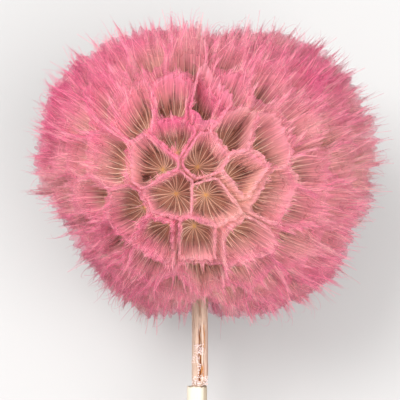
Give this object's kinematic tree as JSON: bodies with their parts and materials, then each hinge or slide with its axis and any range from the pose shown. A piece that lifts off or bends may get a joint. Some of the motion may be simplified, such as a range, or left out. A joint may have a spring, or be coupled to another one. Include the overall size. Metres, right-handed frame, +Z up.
{
  "type": "seed head",
  "caption": "Dried pink-dyed seed head of a big dandelion-like goat's-beard, lying down: a ball of feathery fruits on a short split stem set in a hollow reed.",
  "frame": {"origin": "on the surface that the head lies on, under the middle of the object's bounding box", "axes": "+Y from the reed's cut end towards the ball, +Z up out of the side of the ball that faces up as it lies, +X across the stem"},
  "size_m": [0.0958, 0.1888, 0.0956],
  "materials": {
    "pappus": "soft hairs, cream at the knob and dyed pink towards the rim",
    "receptacle": "dry, pitted where fruits have stood",
    "bract": "dry papery leaf, dull",
    "stem": "dried stem, fibrous, split near its foot",
    "reed": "pale dry reed, satin"
  },
  "bodies": {
    "root": {"bract_1": "bract", "bract_2": "bract", "bract_3": "bract", "bract_4": "bract", "bract_5": "bract", "bract_6": "bract", "bract_7": "bract", "bract_8": "bract", "flower_stem": "stem", "receptacle": "receptacle", "reed_sleeve": "reed", "seed_group_01": "pappus", "seed_group_02": "pappus", "seed_group_03": "pappus", "seed_group_04": "pappus", "seed_group_05": "pappus", "seed_group_06": "pappus", "seed_group_07": "pappus", "seed_group_08": "pappus", "seed_group_09": "pappus", "seed_group_10": "pappus", "seed_group_11": "pappus", "seed_group_12": "pappus", "seed_group_13": "pappus", "seed_group_14": "pappus", "seed_group_15": "pappus", "seed_group_16": "pappus", "seed_group_17": "pappus", "seed_group_18": "pappus", "seed_group_19": "pappus", "seed_group_20": "pappus", "seed_group_21": "pappus", "seed_group_22": "pappus", "seed_group_23": "pappus", "seed_group_24": "pappus", "seed_group_25": "pappus", "seed_group_26": "pappus", "seed_group_27": "pappus", "seed_group_28": "pappus", "seed_group_29": "pappus", "seed_group_30": "pappus", "seed_group_31": "pappus", "seed_group_32": "pappus", "seed_group_33": "pappus", "seed_group_34": "pappus", "seed_group_35": "pappus", "seed_group_36": "pappus", "seed_group_37": "pappus", "seed_group_38": "pappus", "seed_group_39": "pappus", "seed_group_40": "pappus", "seed_group_41": "pappus", "seed_group_42": "pappus", "seed_group_43": "pappus", "seed_group_44": "pappus", "seed_group_45": "pappus", "seed_group_46": "pappus", "seed_group_47": "pappus", "seed_group_48": "pappus"}
  },
  "joints": []
}
